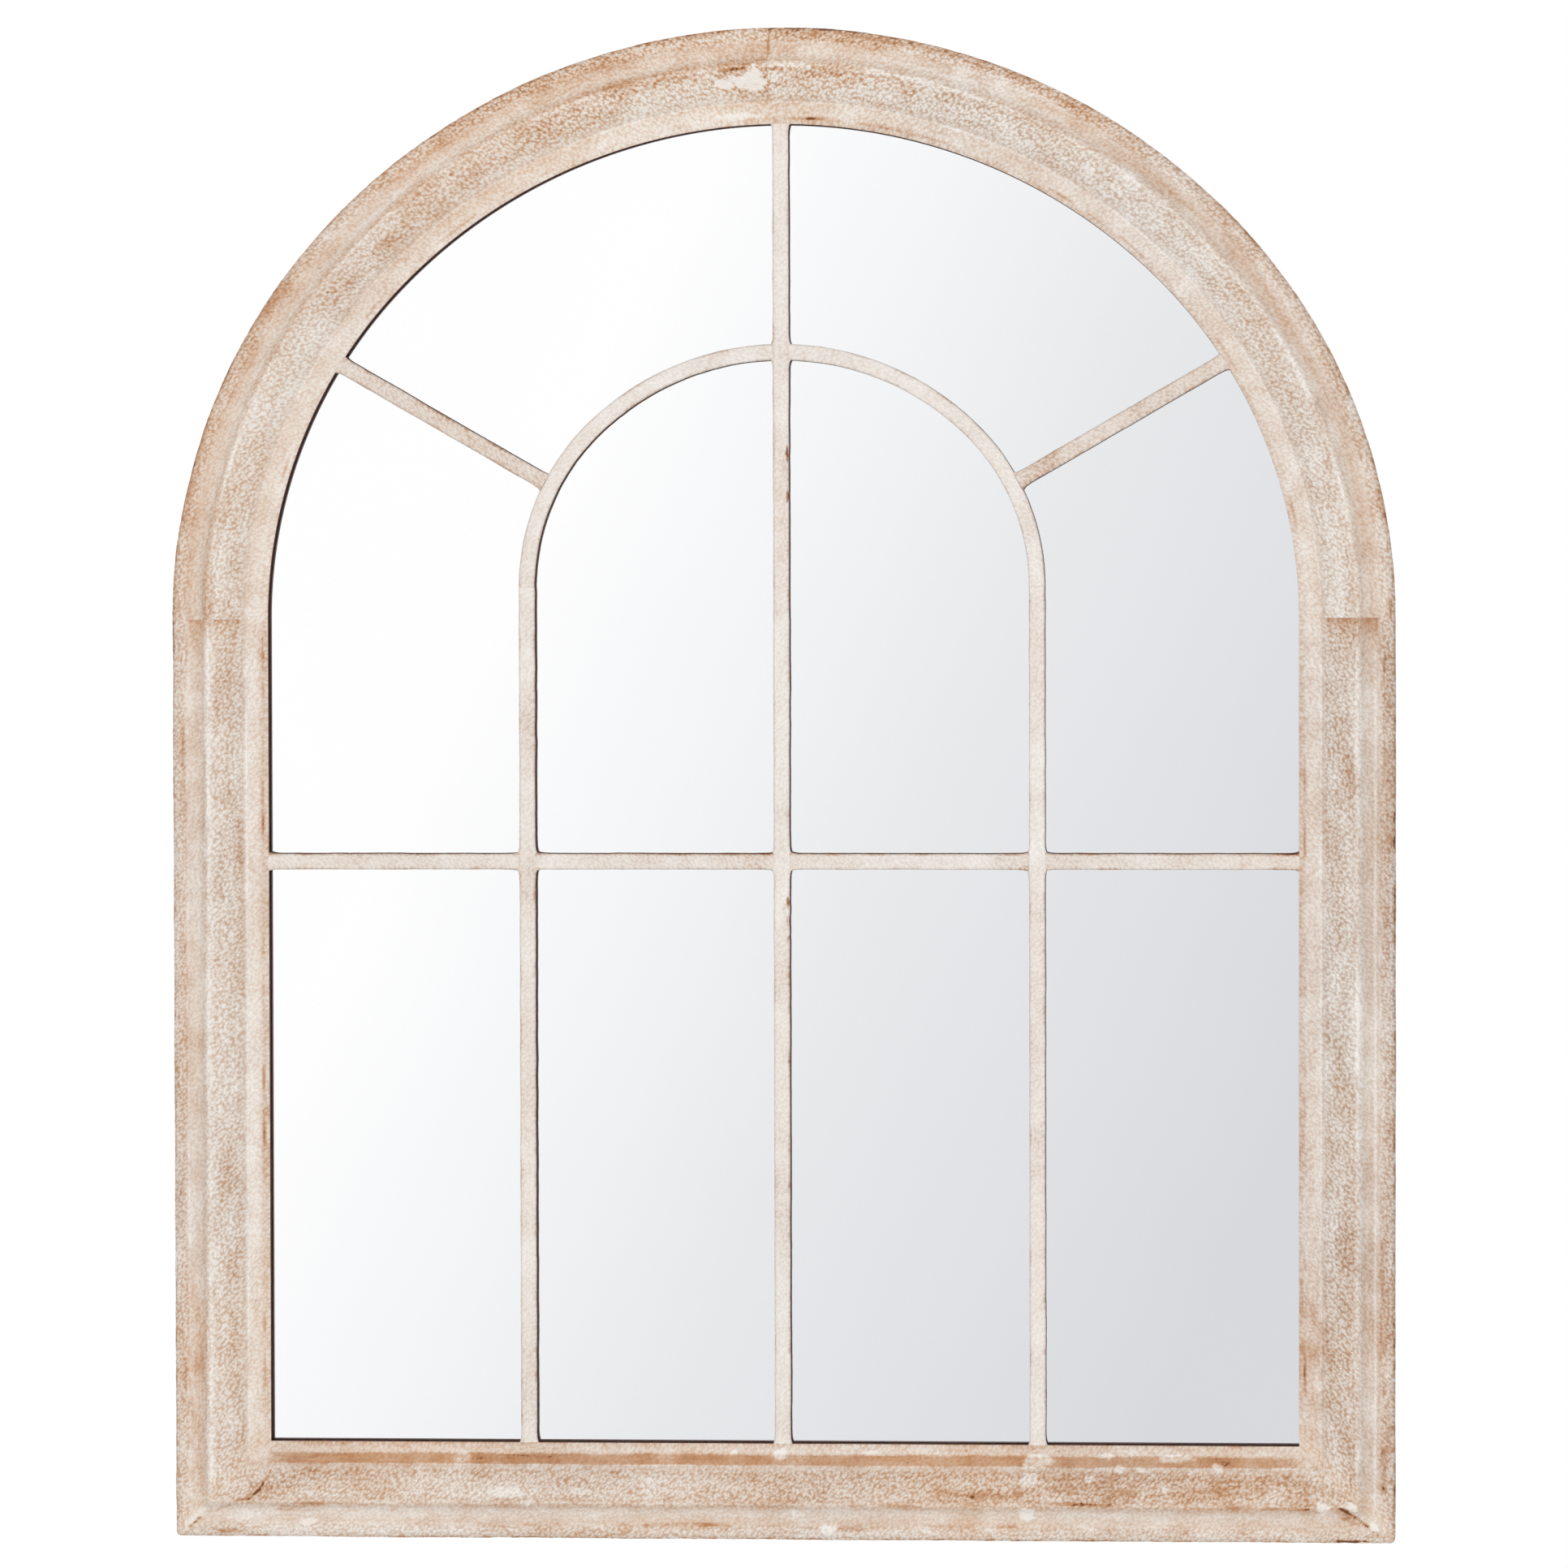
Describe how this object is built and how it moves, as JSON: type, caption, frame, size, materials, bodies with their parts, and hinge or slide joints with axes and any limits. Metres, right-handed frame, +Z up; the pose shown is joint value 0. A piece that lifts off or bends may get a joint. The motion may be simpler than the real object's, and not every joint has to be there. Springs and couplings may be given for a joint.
{
  "type": "wall mirror",
  "caption": "Arched window-pane wall mirror: moulded limewashed timber frame, flush glazing bars over one silvered pane, boarded back and ring hangers.",
  "frame": {"origin": "on the wall plane and on the centre line, level with the inside top of the two hanging rings", "axes": "+X to the viewer's right, +Y into the wall, +Z up"},
  "size_m": [0.69, 0.0372, 0.852],
  "materials": {
    "frame_timber": "worn cream limewash over brown timber",
    "bar_timber": "cream limewash, lightly worn",
    "beech": "bare",
    "glass": "clear float",
    "silver": "silvered, painted behind",
    "card": "grey card",
    "hardboard": "bare hardboard",
    "zinc_steel": "zinc plated",
    "bumper_rubber": "matt"
  },
  "bodies": {
    "frame": {"left_stile": "frame_timber", "right_stile": "frame_timber", "bottom_rail": "frame_timber", "left_arch": "frame_timber", "right_arch": "frame_timber", "crown_dowels": "beech", "left_spring_dowels": "beech", "right_spring_dowels": "beech", "left_mitre_biscuit": "beech", "right_mitre_biscuit": "beech", "centre_bar": "bar_timber", "cross_bar": "bar_timber", "left_upright_bar": "bar_timber", "right_upright_bar": "bar_timber", "left_inner_arch": "bar_timber", "right_inner_arch": "bar_timber", "left_radial_bar": "bar_timber", "right_radial_bar": "bar_timber", "mirror_glass": "glass", "silver_coat": "silver", "packing_sheet": "card", "back_panel": "hardboard", "back_panel_screws": "zinc_steel", "left_hanger_strap": "zinc_steel", "right_hanger_strap": "zinc_steel", "hanger_screws": "zinc_steel", "wall_bumpers": "bumper_rubber"},
    "left_ring": {"left_hanger_ring": "zinc_steel"},
    "right_ring": {"right_hanger_ring": "zinc_steel"}
  },
  "joints": [
    {"name": "left_ring_hinge", "type": "hinge", "parent": "frame", "child": "left_ring", "pos_m": [-0.327, -0.00365, -0.01573], "axis": [-1, 0, 0], "range_deg": [0, 180]},
    {"name": "right_ring_hinge", "type": "hinge", "parent": "frame", "child": "right_ring", "pos_m": [0.327, -0.00365, -0.01573], "axis": [-1, 0, 0], "range_deg": [0, 180]}
  ]
}
